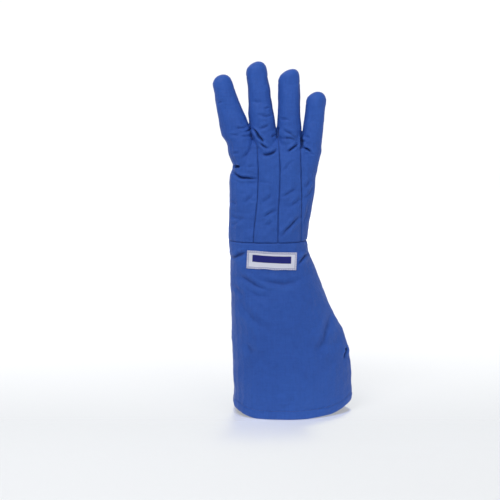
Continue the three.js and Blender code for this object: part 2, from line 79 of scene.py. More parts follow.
# The shell's pieces, in the order of the skin's material slots, and what each is cut from.
PANELS = {
    "cuff_back": BLUE,
    "cuff_palm": BLUE,
    "gusset_index_middle": BLUE,
    "gusset_middle_ring": BLUE,
    "gusset_ring_little": BLUE,
    "back_index": BLUE,
    "back_middle": BLUE,
    "back_ring": BLUE,
    "back_little": BLUE,
    "palm": BLACK,
    "thumb_front": BLACK,
    "thumb_back": BLUE,
}

WRIST_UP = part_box("cuff_back")[1][2]
SEAM_SIDE = 0.5 * (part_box("cuff_back")[1][1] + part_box("cuff_palm")[0][1])
HEM_MIDDLE = 0.01395
HEM_HALF = 0.084
HEM_RISE = 0.009
HEM_FLAT = 0.62
HEM_SLANT = 0.006

# Lines midway between two fingers in mm: x and z at the web, then near the tips.
FINGER_GAPS = ((-44.0, 385.0, -62.0, 470.0), (-10.0, 388.0, -14.4, 470.0), (24.2, 380.0, 26.9, 440.0))
GAP_SPREAD = 0.0045
GAP_EASE = 0.0011

RIM_LIFT = 0.0003
HEM_UNDER = 0.0125
FINGERS_FROM = 0.355
FINGERS_BY = 0.385
NIP_LEFT_OF = -0.045
NIP_UP = 0.365
SEAM_SHADE_WIDTH = 0.00060
SEAM_GATHER = 0.00050
LABEL_INSET = 0.0013
LABEL_PITCH = 0.0031
HEM_PITCH = 0.0036
HEM_STITCH = 0.0029
HEM_THREAD = 0.00030
BLUE_THREADS = 0.0009
BLACK_THREADS = 0.0011

# The padding's simulation.
PADDING_STEPS = 20
PADDED_CLOTH = {
    "quality": 6,
    "mass": 0.2,
    "tension_stiffness": 14.0,
    "compression_stiffness": 8.0,
    "shear_stiffness": 5.0,
    "bending_stiffness": 0.3,
    "air_damping": 2.0,
    "use_pressure": True,
}

# Creases of the back and of the cuff's front: depth and breadth in mm, then x and z of each point in mm.
BACK_CREASES = (
    (1.0, 1.4, (-90, 434.4), (-85, 436.4)),
    (1.1, 1.5, (-65.5, 398.5), (-58.7, 401.3), (-50.5, 400.6)),
    (1.3, 1.0, (-51.8, 395.2), (-45, 399.2)),
    (1.0, 1.4, (-73.7, 391.8), (-61.4, 391.1)),
    (1.0, 1.4, (-58.7, 388.4), (-43.6, 389.8)),
    (3.3, 1.4, (-44, 400), (-36.8, 393.1), (-29.9, 384.3), (-27.5, 380)),
    (2.2, 1.5, (-34, 381.6), (-28.6, 376.2), (-21, 372)),
    (2.4, 1.8, (-31.5, 365.4), (-25.8, 364), (-17.6, 366.1), (-8.7, 371.5)),
    (0.7, 2.0, (-43.6, 435.8), (-36.8, 435.1), (-28.6, 437.1)),
    (1.1, 1.4, (-27.2, 426.3), (-20.4, 429)),
    (1.2, 1.5, (-36.8, 417.5), (-31.3, 418.2), (-23.1, 416.2), (-15.6, 418.2)),
    (1.3, 1.5, (-34.1, 398.5), (-27.2, 401.9), (-19, 403.3)),
    (1.4, 1.6, (-17.6, 388.8), (-9.4, 392.1)),
    (1.0, 1.5, (-6.3, 412.1), (1.5, 411.4), (9.7, 412.8)),
    (1.5, 1.6, (-2.6, 399.2), (4.3, 395.2), (11.1, 389.8), (20.7, 385.7)),
    (1.5, 1.6, (-5.9, 385.7), (2.9, 387), (11.1, 385.7), (20.3, 382)),
    (2.6, 1.5, (4.7, 367.8), (12.5, 373.5), (21.7, 380.3)),
    (1.0, 1.6, (7, 395.2), (16.6, 392.5)),
    (2.4, 1.4, (24.5, 374.3), (31.7, 372.2), (38.8, 367.8)),
    (1.0, 1.6, (23.4, 384.3), (30.3, 382.3)),
    (0.8, 1.5, (28.9, 389.8), (35.8, 385.7)),
    (0.9, 1.5, (34.4, 366.5), (44, 364.1)),
    (2.9, 1.4, (-70.3, 347.1), (-61.4, 348.2)),
    (2.5, 1.6, (-73, 342), (-64.2, 335.6), (-56, 332.2), (-47.7, 333.2), (-36.8, 331.8)),
    (1.0, 1.6, (-71, 366.7), (-62.8, 366.1)),
    (1.0, 2.3, (-58.7, 355.9), (-49.1, 368.1), (-39.5, 376.2)),
    (0.7, 2.0, (-53.2, 346.4), (-39.5, 349.1)),
    (1.0, 2.0, (-74.4, 296.3), (-65.6, 297.6)),
    (1.0, 2.0, (-74.4, 277.3), (-61.4, 275.9), (-53.2, 277.3)),
    (0.9, 2.0, (-72, 266.4), (-58.7, 274.6)),
    (1.1, 2.3, (-58.7, 296.3), (-45, 305.8), (-38.2, 315.3)),
    (0.8, 2.0, (-46.4, 301.7), (-36.8, 303.1)),
    (0.9, 2.4, (-34, 299), (-23.1, 303.1), (-14.9, 312.5)),
    (1.4, 2.2, (-28.6, 278.6), (-20.3, 285.4), (-9.4, 290.2)),
    (1.0, 2.0, (-25.8, 267.8), (-13.5, 273.2)),
    (0.8, 2.2, (-34, 326.1), (-23.1, 328.8), (-14.9, 324.7)),
    (1.7, 2.3, (-5.2, 251.5), (4.3, 262.4), (13.9, 273.2), (24.9, 281.4)),
    (1.2, 2.2, (-2.5, 305.8), (5.7, 312.5), (18, 318)),
    (1.2, 2.2, (7.1, 292.2), (15.3, 299), (24.5, 304.4)),
    (0.9, 2.3, (-2.5, 341), (5.7, 349.1), (15.2, 357.3)),
    (1.1, 2.2, (27.6, 303.1), (35.8, 309.8), (41.3, 323.4)),
    (1.1, 2.2, (29, 316.6), (37.2, 330.2)),
    (1.0, 2.2, (27.6, 269.1), (33.1, 282.7), (37.2, 303.1)),
    (2.0, 2.4, (-76, 219), (-66, 225), (-56, 229), (-50, 231)),
    (2.0, 2.0, (19.5, 214), (27.7, 221.4), (37, 229)),
    (1.3, 3.0, (-66, 199), (-56, 196), (-44, 191), (-34, 184), (-20, 178)),
    (1.3, 3.4, (-36, 196), (-14.8, 190), (1.7, 189), (15.4, 191.3), (28, 198)),
    (1.0, 3.0, (-72, 184), (-62, 176), (-54, 167)),
    (0.7, 3.4, (-50, 180), (-36, 172), (-20, 170)),
    (1.0, 5.0, (-64, 164), (-50, 148), (-34, 134), (-16, 124)),
    (1.3, 4.6, (70, 148), (63, 127), (55.6, 107.2), (45, 88)),
    (0.6, 4.0, (86, 79), (80.6, 67), (76.6, 55.9)),
    (2.4, 1.3, (-7.8, 402), (-8.2, 396), (-7.4, 388)),
    (2.8, 1.4, (24.6, 392), (24.9, 381), (24.2, 371)),
    (2.8, 1.8, (92, 93), (88.5, 86.5), (87, 77)),
    (2.2, 1.6, (87, 91.5), (92, 86)),
    (1.2, 4.3, (-51.9, 104.4), (-42.2, 89.2)),
)

# The same on the palm side, seen through the glove.
PALM_CREASES = (
    (2.2, 2.6, (-66, 352), (-52, 356), (-38, 357), (-25, 355)),
    (1.4, 3.4, (-6, 342), (4, 334), (16, 330), (26, 336)),
    (1.6, 3.4, (-30, 330), (-22, 312), (-20, 292), (-24, 270)),
    (1.3, 3.4, (-70, 300), (-58, 292), (-44, 288)),
    (1.2, 3.2, (-68, 282), (-56, 276), (-42, 276)),
    (1.3, 3.6, (-8, 322), (4, 300), (14, 276), (18, 256)),
    (1.1, 3.2, (10, 318), (24, 304), (34, 286)),
    (1.0, 3.0, (-4, 290), (8, 282), (26, 278)),
    (1.4, 2.6, (-46, 372), (-38, 366), (-29, 366)),
    (1.4, 2.6, (-20, 378), (-10, 372), (0, 372)),
    (1.3, 2.6, (8, 376), (16, 371), (24, 372)),
    (1.2, 2.6, (28, 368), (36, 364), (46, 366)),
    (1.2, 2.4, (-78, 398), (-68, 394), (-58, 396)),
    (1.0, 2.4, (-82, 410), (-74, 407), (-64, 410)),
    (1.2, 2.4, (-42, 410), (-32, 406), (-20, 409)),
    (1.0, 2.4, (-42, 424), (-34, 421), (-26, 424)),
    (1.1, 2.4, (-4, 404), (6, 401), (18, 404)),
    (1.0, 2.4, (0, 420), (10, 417), (20, 420)),
    (1.0, 2.4, (26, 396), (36, 393), (46, 396)),
    (1.2, 2.6, (-66, 322), (-54, 318), (-40, 322)),
    (1.0, 2.6, (-60, 340), (-50, 337), (-40, 340)),
    (1.3, 3.4, (-70, 226), (-50, 222), (-30, 226)),
    (1.1, 3.6, (-20, 214), (4, 208), (24, 212)),
    (1.3, 5.0, (-62, 165), (-40, 152), (-6, 140)),
    (1.2, 5.0, (30, 190), (44, 168), (52, 146)),
    (1.1, 6.0, (-50, 110), (-20, 98), (10, 100)),
    (1.3, 5.0, (70, 120), (62, 98), (54, 80)),
    (0.9, 6.0, (-40, 70), (-10, 62), (20, 66)),
)


# Sizes and colours that a user would change.
def amount(name, description, default, **more):
    return bpy.props.FloatProperty(name=name, description=description, default=default, **more)


def length(name, description, default, **more):
    return amount(name, description, default, unit="LENGTH", **more)


def tint(name, description, default):
    return bpy.props.FloatVectorProperty(name=name, description=description, default=default,
                                         subtype="COLOR", size=3)


class GloveCloth(bpy.types.PropertyGroup):
    """How the shell is sewn, padded and creased."""
    grain: length("Grain", "Edge of the skin's faces", 0.00118, min=0.0009)
    padding_grain: length("Padding grain", "Edge of the faces that the padding swells", 0.004, min=0.003)
    closing: length("Seam closing", "How far the panels grow to meet at the seams", 0.00022)
    evening: bpy.props.IntProperty(name="Evening", description="Passes that even out the skin", default=8)
    filling: amount("Filling", "Pressure of the padding under the cloth", 4.0)
    slack: amount("Slack", "Spare cloth between the seams, as a share", 0.02)
    swell: length("Most swell", "How far the padding may move the cloth", 0.0050)
    wall: length("Wall", "Thickness of the padded wall", 0.0034)
    seam_depth: length("Seam depth", "How deep a seam pulls the cloth in", 0.0012)
    seam_breadth: length("Seam breadth", "Half breadth of that valley", 0.0010)
    crease: amount("Creases", "Scale of the creases' depth", 1.35)
    rumple: length("Rumple", "Height of the soft unevenness of the padding", 0.0009)
    hem_band: length("Hem band", "Height of the turned-up hem", 0.0125)


class GloveLabel(bpy.types.PropertyGroup):
    """The woven label on the cuff."""
    width: length("Width", "Width of the label", 0.070)
    height: length("Height", "Height of the label", 0.025)
    thickness: length("Thickness", "Thickness of the folded tape", 0.0009)
    tilt: amount("Tilt", "Turn of the label on the cuff", math.radians(2.9), subtype="ANGLE")
    drop: length("Middle", "Height of the label's middle over the floor", 0.2205)
    across: length("Across", "Sideways place of the label's middle", -0.01655)
    stitch: length("Stitch", "Length of one stitch", 0.0024)
    thread: length("Thread", "Radius of the thread", 0.00030)


class GloveColours(bpy.types.PropertyGroup):
    """Colours of the cloths and threads."""
    blue: tint("Blue", "Outer cloth", (0.0185, 0.079, 0.368))
    # Pale blue: random pale patches and slubs, and the painted highlight on crease and seam shoulders.
    blue_light: tint("Pale blue", "Outer cloth in pale patches and painted highlight", (0.029, 0.110, 0.455))
    # Deep blue is the painted shade in folds and seams, and also the colour of dark slubs and weave gaps.
    blue_deep: tint("Deep blue", "Outer cloth in its folds", (0.006, 0.020, 0.105))
    black: tint("Black", "Grip cloth", (0.0125, 0.0128, 0.0140))
    # Greyed black: random grey patches, and the painted highlight on crease and seam shoulders.
    black_light: tint("Greyed black", "Grip cloth in pale patches and painted highlight", (0.026, 0.026, 0.028))
    tape: tint("Tape", "Ground of the label", (0.74, 0.76, 0.86))
    bar: tint("Bar", "Woven bar of the label", (0.002, 0.006, 0.160))


class GloveStudio(bpy.types.PropertyGroup):
    """Floor, light and camera."""
    floor: tint("Floor", "Colour of floor and backdrop", (0.87, 0.88, 0.89))
    key: amount("Key light", "Power of the large light", 28.0, unit="POWER")
    fill: amount("Fill light", "Power of the fill light", 13.5, unit="POWER")
    sky: amount("Sky", "Strength of the even light", 0.50)
    distance: length("Distance", "Camera to the glove", 1.7)
    elevation: amount("Elevation", "Camera above the horizon", math.radians(9.0), subtype="ANGLE")
    aim: bpy.props.FloatVectorProperty(name="Aim", description="Point that the camera looks at",
                                       subtype="TRANSLATION", size=3, default=(-0.0464, 0.0, 0.229))
    lens: amount("Lens", "Focal length in millimetres", 87.2)


# Cloths and threads as materials.
class Wire:
    """A node's socket, worked with as a number."""

    def __init__(self, cloth, socket):
        self.cloth = cloth
        self.socket = socket

    def maths(self, operation, first, second=None):
        values = {0: first} if second is None else {0: first, 1: second}
        return self.cloth.add("ShaderNodeMath", {"operation": operation}, values)

    def __add__(self, other):
        return self.maths("ADD", self, other)

    __radd__ = __add__

    def __mul__(self, other):
        return self.maths("MULTIPLY", self, other)

    __rmul__ = __mul__

    def __sub__(self, other):
        return self.maths("SUBTRACT", self, other)

    def __rsub__(self, other):
        return self.maths("SUBTRACT", other, self)

    def __truediv__(self, other):
        return self.maths("DIVIDE", self, other)

    def __pow__(self, other):
        return self.maths("POWER", self, other)

    def __abs__(self):
        return self.maths("ABSOLUTE", self)

    def sine(self):
        return self.maths("SINE", self)

    def above(self, low, high):
        return self.cloth.add("ShaderNodeMapRange", {"interpolation_type": "SMOOTHSTEP"},
                              {"Value": self, "From Min": low, "From Max": high})


class Cloth:
    """One material and its nodes."""

    def __init__(self, name, **constants):
        self.material = bpy.data.materials.new(name)
        self.material.use_nodes = True
        self.nodes = self.material.node_tree.nodes
        self.links = self.material.node_tree.links
        self.shader = self.nodes["Principled BSDF"]
        for socket, value in constants.items():
            self.shader.inputs[socket.replace("_", " ")].default_value = value
        self.place = self.add("ShaderNodeTexCoord", {}, {}, "Object")

    def add(self, kind, settings, values, output=0):
        node = self.nodes.new(kind)
        for name, value in settings.items():
            setattr(node, name, value)
        for name, value in values.items():
            self.feed(node.inputs[name], value)
        return Wire(self, node.outputs[output])

    def feed(self, socket, value):
        if isinstance(value, Wire):
            self.links.new(value.socket, socket)
        elif isinstance(value, (tuple, list)) and len(value) == 3 and socket.type == "RGBA":
            socket.default_value = (*value, 1.0)
        else:
            socket.default_value = value

    def noise(self, scale, detail=2.0, roughness=0.5, stretch=None):
        place = self.place
        if stretch:
            turn, scaling = stretch
            place = self.add("ShaderNodeMapping", {}, {"Vector": place, "Rotation": turn, "Scale": scaling})
        return self.add("ShaderNodeTexNoise", {}, {"Vector": place, "Scale": scale, "Detail": detail,
                                                   "Roughness": roughness})

    def mix(self, share, first, second):
        node = self.nodes.new("ShaderNodeMix")
        node.data_type = "RGBA"
        for socket, value in ((0, share), (6, first), (7, second)):
            self.feed(node.inputs[socket], value)
        return Wire(self, node.outputs[2])

    def split(self, vector):
        """The three numbers of a vector."""
        node = self.nodes.new("ShaderNodeSeparateXYZ")
        self.feed(node.inputs[0], vector)
        return [Wire(self, output) for output in node.outputs]

    def attribute(self, name):
        return self.add("ShaderNodeAttribute", {"attribute_name": name}, {}, "Fac")

    def threads(self, pitch):
        """Warp and weft of a plain weave along the flat pattern: its height from 0 to 1."""
        across, along, _ = self.split(self.add("ShaderNodeUVMap", {"uv_map": "cut"}, {}))
        turn = 2.0 * math.pi / pitch
        return (across * turn).sine() * (along * turn).sine() * 0.5 + 0.5

    def finish(self, colour, roughness, height, distance, strength=1.0):
        self.feed(self.shader.inputs["Base Color"], colour)
        self.feed(self.shader.inputs["Roughness"], roughness)
        bump = self.add("ShaderNodeBump", {}, {"Height": height, "Distance": distance, "Strength": strength})
        self.feed(self.shader.inputs["Normal"], bump)
        return self.material


def blue_cloth(colours):
    """Padded blue nylon: fine weave, crumpled coating, paler in random patches and slubs, with painted
    highlight on the shoulders of creases and seams and painted shade in their valleys.
    """
    cloth = Cloth("blue_cloth", Sheen_Weight=0.04, Sheen_Roughness=0.5, Specular_IOR_Level=0.25)
    weave = cloth.threads(BLUE_THREADS)
    crumple = cloth.noise(75.0, 4.0, 0.55)
    drag = cloth.noise(26.0, 3.0, 0.5, ((0.0, math.radians(38.0), 0.0), (1.0, 1.0, 0.35)))
    slub = cloth.noise(420.0, 2.0, 0.6, ((0.0, 0.0, 0.0), (1.0, 1.0, 0.10)))
    slub = slub + cloth.noise(420.0, 2.0, 0.6, ((0.0, 0.0, 0.0), (0.10, 1.0, 1.0)))
    patch = cloth.noise(7.0, 3.0, 0.6)
    fold = cloth.attribute("fold")
    painted_highlight = cloth.attribute("ridge")
    base = cloth.mix(patch.above(0.38, 0.66) * 0.35, tuple(colours.blue), tuple(colours.blue_light))
    # Painted highlight: paler blue on the raised shoulders beside creases and seams.
    base = cloth.mix(painted_highlight.above(0.1, 0.9) * 0.4, base, tuple(colours.blue_light))
    # Painted shade: deep blue in the valleys of creases, seams and the hem's stitch line.
    base = cloth.mix(fold.above(0.25, 1.2) * 0.80, base, tuple(colours.blue_deep))
    # Painted shade: a thin deep-blue line along each seam's groove.
    base = cloth.mix(cloth.attribute("seam").above(0.1, 0.9) * 0.62, base, tuple(colours.blue_deep))
    base = cloth.mix(slub.above(1.1, 0.7) * 0.10, base, tuple(colours.blue_deep))
    base = cloth.mix(slub.above(1.0, 1.4) * 0.20, base, tuple(colours.blue_light))
    base = cloth.mix(weave.above(0.0, 0.5) * -0.10 + 0.10, base, tuple(colours.blue_deep))
    rough = patch * 0.12 + painted_highlight * -0.08 + 0.56
    height = weave * 0.07 + crumple * 1.1 + drag * 1.7 + slub * 0.05
    return cloth.finish(base, rough, height, 0.0022, 0.9)


def black_cloth(colours):
    """Black grip cloth: a coarser, drier weave, greyer in random patches, with painted highlight on the
    shoulders of creases and seams.
    """
    cloth = Cloth("black_cloth", Sheen_Weight=0.03, Sheen_Roughness=0.5, Specular_IOR_Level=0.26)
    weave = cloth.threads(BLACK_THREADS)
    crumple = cloth.noise(90.0, 4.0, 0.6)
    drag = cloth.noise(30.0, 3.0, 0.5, ((0.0, math.radians(-30.0), 0.0), (1.0, 1.0, 0.4)))
    patch = cloth.noise(9.0, 4.0, 0.65)
    painted_highlight = cloth.attribute("ridge")
    base = cloth.mix(patch.above(0.4, 0.7) * 0.5, tuple(colours.black), tuple(colours.black_light))
    # Painted highlight: grey on the raised shoulders beside creases and seams.
    base = cloth.mix(painted_highlight.above(0.1, 0.9) * 0.5, base, tuple(colours.black_light))
    base = cloth.mix(weave.above(0.0, 0.6) * -0.35 + 0.35, base, (0.006, 0.006, 0.007))
    rough = patch * 0.2 + 0.56
    height = weave * 0.10 + crumple * 0.8 + drag * 1.1
    return cloth.finish(base, rough, height, 0.0020, 0.9)


def label_cloth(colours, label):
    """Woven tape: off-white ground, a plain bar, a thin border line and the ribs of the weave."""
    cloth = Cloth("label_cloth", Sheen_Weight=0.02, Specular_IOR_Level=0.1)
    across, up, _ = cloth.split(cloth.add("ShaderNodeUVMap", {"uv_map": "cut"}, {}))
    half = label.width / 2
    tall = label.height / 2

    def frame_mask(middle, half_width, half_height, soft):
        inside = (half_width - abs(across)) / soft
        low = (half_height - abs(up - middle)) / soft
        return inside.above(0.0, 1.0) * low.above(0.0, 1.0)

    fray = cloth.noise(1500.0, 2.0)
    bar = frame_mask(0.0019, 0.0270, 0.0050, 0.0005)
    border = frame_mask(0.0, half - 0.0024, tall - 0.0022, 0.0003)
    border = border - frame_mask(0.0, half - 0.0030, tall - 0.0028, 0.0003)
    ribs = (up * (2.0 * math.pi / 0.0007)).sine() * 0.5 + 0.5
    wefts = (across * (2.0 * math.pi / 0.0009)).sine() * 0.5 + 0.5
    tone = cloth.noise(90.0, 3.0)
    ground = cloth.mix(tone * 0.35, tuple(colours.tape), (0.54, 0.55, 0.68))
    ground = cloth.mix(border * 0.90, ground, (0.11, 0.12, 0.36))
    ground = cloth.mix(bar * (0.965 + fray * 0.03), ground, tuple(colours.bar))
    ground = cloth.mix(ribs * wefts * -0.12 + 0.12, ground, (0.02, 0.02, 0.09))
    return cloth.finish(ground, tone * 0.15 + 0.62, ribs * wefts + bar * 0.6, 0.00035, 0.7)


def thread_cloth(name, colour, deep):
    """Sewing thread: twisted plies along the stitch."""
    cloth = Cloth(name, Sheen_Weight=0.2, Specular_IOR_Level=0.45)
    twist = cloth.noise(1400.0, 2.0, 0.5, ((0.5, 0.4, 0.7), (1.0, 1.0, 0.3)))
    tone = cloth.noise(40.0, 2.0)
    base = cloth.mix(twist.above(0.35, 0.7), deep, colour)
    return cloth.finish(base, tone * 0.2 + 0.45, twist, 0.0002, 0.8)


def floor_cloth(studio):
    """Pale studio sweep, polished under the glove: it whitens towards the back."""
    cloth = Cloth("studio_floor", Specular_IOR_Level=0.1, Emission_Strength=1.0)
    forward = cloth.split(cloth.place)[1]
    polish = forward.above(-0.40, -0.04) ** 2.0
    back = forward.above(-0.35, 0.70)
    tone = cloth.noise(3.0, 2.0)
    base = cloth.mix(back, tuple(studio.floor), (0.95, 0.955, 0.96))
    glow = cloth.mix(polish, (0.0, 0.0, 0.0), (0.27, 0.275, 0.28))
    glow = cloth.mix(back, glow, (0.56, 0.56, 0.56))
    cloth.feed(cloth.shader.inputs["Emission Color"], glow)
    cloth.feed(cloth.shader.inputs["Metallic"], polish * 0.76)
    return cloth.finish(base, tone * 0.03 + 0.17, tone, 0.00001, 0.1)


# Hands on the mesh.
def pick(*objects):
    bpy.ops.object.select_all(action="DESELECT")
    for item in objects:
        item.select_set(True)
    bpy.context.view_layer.objects.active = objects[0]


def apply_modifier(item, kind, **settings):
    pick(item)
    modifier = item.modifiers.new(kind.lower(), kind)
    for name, value in settings.items():
        setattr(modifier, name, value)
    bpy.ops.object.modifier_apply(modifier=modifier.name)


@contextmanager
def edit_mode(item):
    """Edit mode on one item with all of it selected."""
    pick(item)
    bpy.ops.object.mode_set(mode="EDIT")
    bpy.ops.mesh.select_all(action="SELECT")
    yield
    bpy.ops.object.mode_set(mode="OBJECT")


def added(operator, name, **settings):
    """What one of Blender's operators adds, under its name."""
    bpy.ops.object.select_all(action="DESELECT")
    operator(**settings)
    item = bpy.context.view_layer.objects.active
    item.name = name
    return item


def dress(item, material):
    item.data.materials.clear()
    item.data.materials.append(material)


def tree_of(points):
    """A search tree that finds points by their place in the list."""
    tree = KDTree(len(points))
    for place, point in enumerate(points):
        tree.insert(point, place)
    tree.balance()
    return tree


@contextmanager
def open_mesh(mesh):
    """A mesh's faces and edges to work on, written back at the end."""
    work = bmesh.new()
    work.from_mesh(mesh)
    yield work
    work.to_mesh(mesh)
    work.free()


def read(items, key, kind=np.int32, width=1):
    found = np.empty(len(items) * width, dtype=kind)
    items.foreach_get(key, found)
    return found


def places(mesh):
    return read(mesh.vertices, "co", float, 3).reshape(-1, 3)


def directions(mesh):
    return read(mesh.vertex_normals, "vector", float, 3).reshape(-1, 3)


def corners_of(mesh):
    """Each face corner's vertex and panel, and the number of corners of each face."""
    sides = read(mesh.polygons, "loop_total")
    return read(mesh.loops, "vertex_index"), np.repeat(read(mesh.polygons, "material_index"), sides), sides


def put_places(mesh, points):
    mesh.vertices.foreach_set("co", np.ascontiguousarray(points).ravel())
    mesh.update()


def store(mesh, name, values):
    layer = mesh.attributes.get(name) or mesh.attributes.new(name, "FLOAT", "POINT")
    layer.data.foreach_set("value", np.ascontiguousarray(values, dtype=np.float32))


def middle_of(verts):
    verts = list(verts)
    return sum((vert.co for vert in verts), Vector()) / len(verts)


def hem_slant(x):
    """How much further the hem rises on its right side."""
    return HEM_SLANT * np.maximum(0.0, (x - HEM_MIDDLE) / HEM_HALF - 0.25)


def hem_line(x):
    """Height of the glove's lower edge at x."""
    share = np.abs((x - HEM_MIDDLE) / HEM_HALF)
    return HEM_RISE * np.maximum(0.0, (share - HEM_FLAT) / (1.0 - HEM_FLAT)) ** 1.5 + hem_slant(x)


def soft_step(low, high, values):
    share = np.clip((values - low) / (high - low), 0.0, 1.0)
    return share * share * (3.0 - 2.0 * share)


def lattice(cells, seed):
    mixed = cells[..., 0] * 374761393 + cells[..., 1] * 668265263 + cells[..., 2] * 2147483647
    mixed = mixed + seed * 1274126177
    mixed = (mixed ^ (mixed >> 13)) * 1103515245
    return ((mixed ^ (mixed >> 16)) & 0xFFFF) / 32767.5 - 1.0


def rumples(points, spacing, seed):
    """Smooth noise from -1 to 1; spacing is the distance between its humps on each axis."""
    scaled = points / np.array(spacing)
    low = np.floor(scaled).astype(np.int64)
    share = scaled - low
    share = share * share * (3.0 - 2.0 * share)
    total = np.zeros(len(points))
    for corner in range(8):
        step = np.array([corner & 1, corner >> 1 & 1, corner >> 2])
        weight = np.prod(np.where(step == 1, share, 1.0 - share), axis=1)
        total += weight * lattice(low + step, seed)
    return total


def spread_gaps(points):
    """How far x moves where the gaps between the fingers are held open for the remesh."""
    moved = np.zeros(len(points))
    for x0, z0, x1, z1 in FINGER_GAPS:
        rise = (points[:, 2] * 1000.0 - z0) / (z1 - z0)
        middle = (x0 + (x1 - x0) * np.clip(rise, -0.5, 1.2)) / 1000.0
        opened = soft_step(z0 - 22.0, z0 - 4.0, points[:, 2] * 1000.0)
        moved += GAP_SPREAD * opened * np.tanh((points[:, 0] - middle) / (2.0 * GAP_EASE)) / 2.0
    return moved


def open_gaps(item):
    points = places(item.data)
    points[:, 0] += spread_gaps(points)
    put_places(item.data, points)


def close_gaps(item):
    points = places(item.data)
    wanted = points[:, 0].copy()
    low, high = wanted - 1.5 * GAP_SPREAD, wanted + 1.5 * GAP_SPREAD
    for _ in range(30):
        points[:, 0] = (low + high) / 2.0
        beyond = points[:, 0] + spread_gaps(points) > wanted
        high = np.where(beyond, points[:, 0], high)
        low = np.where(beyond, low, points[:, 0])
    put_places(item.data, points)


class SkinCutter:
    """Cuts the joined skin into its panels along the lines where two of them are equally near."""
    REACH = 0.006
    SNAP = 0.30

    def __init__(self, skin):
        self.skin = skin
        self.trees = []
        points, faces, self.panel_of = [], [], []
        for number, name in enumerate(PANELS):
            mesh = frame["nodes"][name].data
            corners = [tuple(v.co) for v in mesh.vertices]
            loops = [tuple(p.vertices) for p in mesh.polygons]
            self.trees.append(BVHTree.FromPolygons(corners, loops))
            faces += [tuple(v + len(points) for v in loop) for loop in loops]
            points += corners
            self.panel_of += [number] * len(loops)
        self.every = BVHTree.FromPolygons(points, faces)

    def nearest_panel(self, point):
        return self.panel_of[self.every.find_nearest(point)[2]]

    def way(self, vert, panel):
        found = self.trees[panel].find_nearest(vert.co, self.REACH)[3]
        return self.REACH if found is None else found

    def cut(self):
        with open_mesh(self.skin.data) as work:
            self.owner = {vert: self.nearest_panel(vert.co) for vert in work.verts}
            self.seam = set()
            self.split_edges(work)
            self.split_faces(work)
            self.own_faces(work)
            self.straighten(work)

    def split_edges(self, work):
        later = []
        for edge in [e for e in work.edges if self.owner[e.verts[0]] != self.owner[e.verts[1]]]:
            first, second = edge.verts
            share = self.share(first, second)
            near = first if share < self.SNAP else second if share > 1.0 - self.SNAP else None
            if near is None:
                later.append((edge, share))
            elif near not in self.seam:
                near.co = first.co.lerp(second.co, share)
                self.seam.add(near)
        for edge, share in later:
            first, second = edge.verts
            if first in self.seam or second in self.seam:
                continue
            fresh = bmesh.utils.edge_split(edge, first, share)[1]
            self.seam.add(fresh)

    def share(self, first, second):
        """Where along an edge its two ends' panels are equally near."""
        one, other = self.owner[first], self.owner[second]
        start = self.way(first, other) - self.way(first, one)
        end = self.way(second, one) - self.way(second, other)
        return min(max(start / max(start + end, 1e-9), 0.0), 1.0)

    def split_faces(self, work):
        for face in list(work.faces):
            on_seam = [v for v in face.verts if v in self.seam]
            if len(on_seam) != 2 or len(face.verts) < 4:
                continue
            first, second = on_seam
            if not any(second in e.verts for e in first.link_edges):
                bmesh.utils.face_split(face, first, second)

    def own_faces(self, work):
        for face in work.faces:
            owners = [self.owner[v] for v in face.verts if v not in self.seam]
            if owners:
                face.material_index = max(set(owners), key=owners.count)
            else:
                face.material_index = self.nearest_panel(face.calc_center_median())
            face.smooth = True

    @staticmethod
    def straighten(work):
        """Evens every seam along its own line."""
        mates = {}
        for edge in work.edges:
            if len(edge.link_faces) == 2 and len({f.material_index for f in edge.link_faces}) == 2:
                for vert in edge.verts:
                    mates.setdefault(vert, []).append(edge.other_vert(vert))
        for _ in range(6):
            fresh = {v: v.co * 0.5 + (m[0].co + m[1].co) * 0.25 for v, m in mates.items() if len(m) == 2}
            for vert, place in fresh.items():
                vert.co = place
        around = [other for vert in mates for other in [e.other_vert(vert) for e in vert.link_edges]
                  if other not in mates]
        for _ in range(2):
            for vert in around:
                if not vert.is_boundary:
                    vert.co = vert.co.lerp(middle_of(e.other_vert(vert) for e in vert.link_edges), 0.4)


